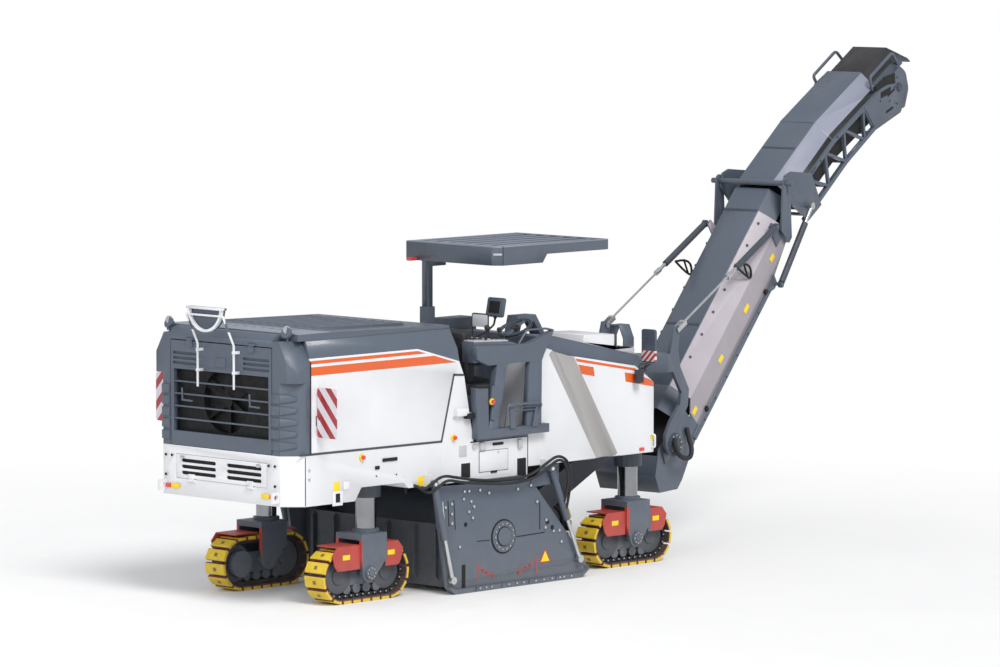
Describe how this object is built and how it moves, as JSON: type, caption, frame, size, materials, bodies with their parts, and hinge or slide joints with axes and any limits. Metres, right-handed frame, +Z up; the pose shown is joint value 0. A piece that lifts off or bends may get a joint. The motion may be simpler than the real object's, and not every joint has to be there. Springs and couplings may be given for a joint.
{
  "type": "cold planer milling machine",
  "caption": "Cold planer on steered tracks, with a milling drum under its body, an open operator stand with a roof, and a folding discharge conveyor that slews at the front.",
  "frame": {"origin": "on the ground under the middle of the machine's box with the conveyor as parked", "axes": "+X forward, towards the discharge conveyor; +Y to the left; +Z up"},
  "size_m": [11.19, 2.65, 5.2932],
  "materials": {
    "white_paint": "gloss",
    "slate_paint": "satin",
    "belt_rubber": "matt",
    "track_pads": "matt",
    "steel": "satin",
    "seat_black": "matt",
    "dark_paint": "matt",
    "warning": "reflective",
    "glass": "mirror"
  },
  "bodies": {
    "chassis": {"arch_cover": "slate_paint", "canopy_mast": "slate_paint", "column_sleeves": "dark_paint", "console": "slate_paint", "drum_housing": "slate_paint", "engine": "dark_paint", "front_body_core": "slate_paint", "front_body_sides": "white_paint", "hood_roof": "slate_paint", "hood_sides": "white_paint", "housing_ends": "slate_paint", "lashing_eyes": "white_paint", "mid_frame": "white_paint", "mirror": "glass", "platform": "slate_paint", "primary_conveyor": "slate_paint", "radiator": "dark_paint", "ram_brackets": "slate_paint", "rear_cheeks": "slate_paint", "rear_frame": "white_paint", "seats": "seat_black", "service_box": "white_paint", "stand_frames": "slate_paint", "swivel_bracket": "slate_paint", "warning_boards": "warning", "work_lamps": "slate_paint"},
    "crawler_front_left": {"track_front_left": "track_pads", "undercarriage_front_left": "slate_paint"},
    "crawler_front_right": {"track_front_right": "track_pads", "undercarriage_front_right": "slate_paint"},
    "crawler_rear_left": {"track_rear_left": "track_pads", "undercarriage_rear_left": "slate_paint"},
    "crawler_rear_right": {"track_rear_right": "track_pads", "undercarriage_rear_right": "slate_paint"},
    "drum": {"milling_drum": "dark_paint"},
    "scraper": {"scraper": "slate_paint"},
    "side_plate_left": {"side_plate_left": "slate_paint"},
    "plate_barrel_rear_left": {"plate_barrel_rear_left": "slate_paint"},
    "plate_rod_rear_left": {"plate_rod_rear_left": "steel"},
    "plate_barrel_front_left": {"plate_barrel_front_left": "slate_paint"},
    "plate_rod_front_left": {"plate_rod_front_left": "steel"},
    "side_plate_right": {"side_plate_right": "slate_paint"},
    "plate_barrel_rear_right": {"plate_barrel_rear_right": "slate_paint"},
    "plate_rod_rear_right": {"plate_rod_rear_right": "steel"},
    "plate_barrel_front_right": {"plate_barrel_front_right": "slate_paint"},
    "plate_rod_front_right": {"plate_rod_front_right": "steel"},
    "grille_door": {"grille_door": "slate_paint", "rear_tray": "slate_paint"},
    "bumper_flap": {"bumper_flap": "white_paint"},
    "canopy": {"canopy": "slate_paint"},
    "swivel": {"swivel_frame": "slate_paint"},
    "conveyor_lower": {"conveyor_lower": "slate_paint", "conveyor_lower_belt": "belt_rubber"},
    "conveyor_upper": {"conveyor_upper": "slate_paint", "conveyor_upper_belt": "belt_rubber", "head_hood": "dark_paint"},
    "lift_barrels": {"lift_barrels": "slate_paint"},
    "lift_stays": {"lift_stays": "steel"},
    "fold_barrels": {"fold_barrels": "slate_paint"},
    "fold_rods": {"fold_rods": "steel"}
  },
  "joints": [
    {"name": "steer_front_left", "type": "hinge", "parent": "chassis", "child": "crawler_front_left", "pos_m": [-0.18097, 0.733, 0.63], "axis": [0, 0, 1], "range_deg": [-20, 20]},
    {"name": "steer_front_right", "type": "hinge", "parent": "chassis", "child": "crawler_front_right", "pos_m": [-0.18097, -0.733, 0.63], "axis": [0, 0, 1], "range_deg": [-20, 20]},
    {"name": "steer_rear_left", "type": "hinge", "parent": "chassis", "child": "crawler_rear_left", "pos_m": [-4.05697, 0.733, 0.63], "axis": [0, 0, 1], "range_deg": [-20, 20]},
    {"name": "steer_rear_right", "type": "hinge", "parent": "chassis", "child": "crawler_rear_right", "pos_m": [-4.05697, -0.733, 0.63], "axis": [0, 0, 1], "range_deg": [-20, 20]},
    {"name": "drum_spin", "type": "hinge", "parent": "chassis", "child": "drum", "pos_m": [-2.46397, 0, 0.47], "axis": [0, 1, 0], "continuous": true},
    {"name": "scraper_lift", "type": "slide", "parent": "chassis", "child": "scraper", "axis": [0, 0, 1], "range_m": [0, 0.2]},
    {"name": "plate_lift_left", "type": "slide", "parent": "chassis", "child": "side_plate_left", "axis": [0, 0, 1], "range_m": [0, 0.3]},
    {"name": "plate_barrel_rear_left_tilt", "type": "hinge", "parent": "chassis", "child": "plate_barrel_rear_left", "pos_m": [-3.51397, 1.166, 1.158], "axis": [0, -1, 0], "range_deg": [-1, 6.34]},
    {"name": "plate_rod_rear_left_slide", "type": "slide", "parent": "plate_barrel_rear_left", "child": "plate_rod_rear_left", "axis": [0.2543, 0, -0.9671], "range_m": [-0.2974, 0.01]},
    {"name": "plate_barrel_front_left_tilt", "type": "hinge", "parent": "chassis", "child": "plate_barrel_front_left", "pos_m": [-1.80397, 1.166, 1.18], "axis": [0, -1, 0], "range_deg": [-1, 9.02]},
    {"name": "plate_rod_front_left_slide", "type": "slide", "parent": "plate_barrel_front_left", "child": "plate_rod_front_left", "axis": [0.4018, 0, -0.9157], "range_m": [-0.2782, 0.01]},
    {"name": "plate_lift_right", "type": "slide", "parent": "chassis", "child": "side_plate_right", "axis": [0, 0, 1], "range_m": [0, 0.3]},
    {"name": "plate_barrel_rear_right_tilt", "type": "hinge", "parent": "chassis", "child": "plate_barrel_rear_right", "pos_m": [-3.51397, -1.166, 1.158], "axis": [0, -1, 0], "range_deg": [-1, 6.34]},
    {"name": "plate_rod_rear_right_slide", "type": "slide", "parent": "plate_barrel_rear_right", "child": "plate_rod_rear_right", "axis": [0.2543, 0, -0.9671], "range_m": [-0.2974, 0.01]},
    {"name": "plate_barrel_front_right_tilt", "type": "hinge", "parent": "chassis", "child": "plate_barrel_front_right", "pos_m": [-1.80397, -1.166, 1.18], "axis": [0, -1, 0], "range_deg": [-1, 9.02]},
    {"name": "plate_rod_front_right_slide", "type": "slide", "parent": "plate_barrel_front_right", "child": "plate_rod_front_right", "axis": [0.4018, 0, -0.9157], "range_m": [-0.2782, 0.01]},
    {"name": "grille_door_lift", "type": "hinge", "parent": "chassis", "child": "grille_door", "pos_m": [-5.37797, 0, 2.65], "axis": [0, 1, 0], "range_deg": [0, 70]},
    {"name": "bumper_flap_drop", "type": "hinge", "parent": "chassis", "child": "bumper_flap", "pos_m": [-5.37797, 0, 1.214], "axis": [0, -1, 0], "range_deg": [0, 95]},
    {"name": "canopy_lower", "type": "slide", "parent": "chassis", "child": "canopy", "axis": [0, 0, 1], "range_m": [-0.4, 0]},
    {"name": "conveyor_slew", "type": "hinge", "parent": "chassis", "child": "swivel", "pos_m": [0.33603, 0, 2.05], "axis": [0, 0, 1], "range_deg": [-67, 53]},
    {"name": "conveyor_lift", "type": "hinge", "parent": "swivel", "child": "conveyor_lower", "pos_m": [0.8323, 0.06093, 1.165], "axis": [0.1219, -0.9925, 0], "range_deg": [-22, 5]},
    {"name": "conveyor_fold", "type": "hinge", "parent": "conveyor_lower", "child": "conveyor_upper", "pos_m": [2.97747, 0.32433, 3.86685], "axis": [0.1219, -0.9925, 0], "range_deg": [0, 95]},
    {"name": "lift_barrel_tilt", "type": "hinge", "parent": "conveyor_lower", "child": "lift_barrels", "pos_m": [2.74717, 0.29605, 3.39956], "axis": [0.1219, -0.9925, 0], "range_deg": [-4.67, 1.45]},
    {"name": "lift_rod_slide", "type": "slide", "parent": "lift_barrels", "child": "lift_stays", "axis": [-0.8763, -0.1076, -0.4696], "range_m": [-0.1105, 0.4521]},
    {"name": "fold_barrel_tilt", "type": "hinge", "parent": "conveyor_lower", "child": "fold_barrels", "pos_m": [2.81338, 0.30418, 2.76581], "axis": [0.1219, -0.9925, 0], "range_deg": [-0.5, 19.56]},
    {"name": "fold_rod_slide", "type": "slide", "parent": "fold_barrels", "child": "fold_rods", "axis": [0.5824, 0.0715, 0.8098], "range_m": [-0.01, 0.6804]}
  ],
  "couplings": [
    {"joint": "steer_front_right", "follows": "steer_front_left", "ratio": 1},
    {"joint": "steer_rear_right", "follows": "steer_rear_left", "ratio": 1},
    {"joint": "plate_barrel_rear_left_tilt", "follows": "plate_lift_left", "rad_per_m": 0.3105},
    {"joint": "plate_rod_rear_left_slide", "follows": "plate_lift_left", "ratio": -0.958},
    {"joint": "plate_barrel_front_left_tilt", "follows": "plate_lift_left", "rad_per_m": 0.4665},
    {"joint": "plate_rod_front_left_slide", "follows": "plate_lift_left", "ratio": -0.8939},
    {"joint": "plate_barrel_rear_right_tilt", "follows": "plate_lift_right", "rad_per_m": 0.3105},
    {"joint": "plate_rod_rear_right_slide", "follows": "plate_lift_right", "ratio": -0.958},
    {"joint": "plate_barrel_front_right_tilt", "follows": "plate_lift_right", "rad_per_m": 0.4665},
    {"joint": "plate_rod_front_right_slide", "follows": "plate_lift_right", "ratio": -0.8939},
    {"joint": "lift_barrel_tilt", "follows": "conveyor_lift", "ratio": 0.1896},
    {"joint": "lift_rod_slide", "follows": "conveyor_lift", "m_per_rad": -1.1515},
    {"joint": "fold_barrel_tilt", "follows": "conveyor_fold", "ratio": 0.2006},
    {"joint": "fold_rod_slide", "follows": "conveyor_fold", "m_per_rad": 0.4043}
  ]
}
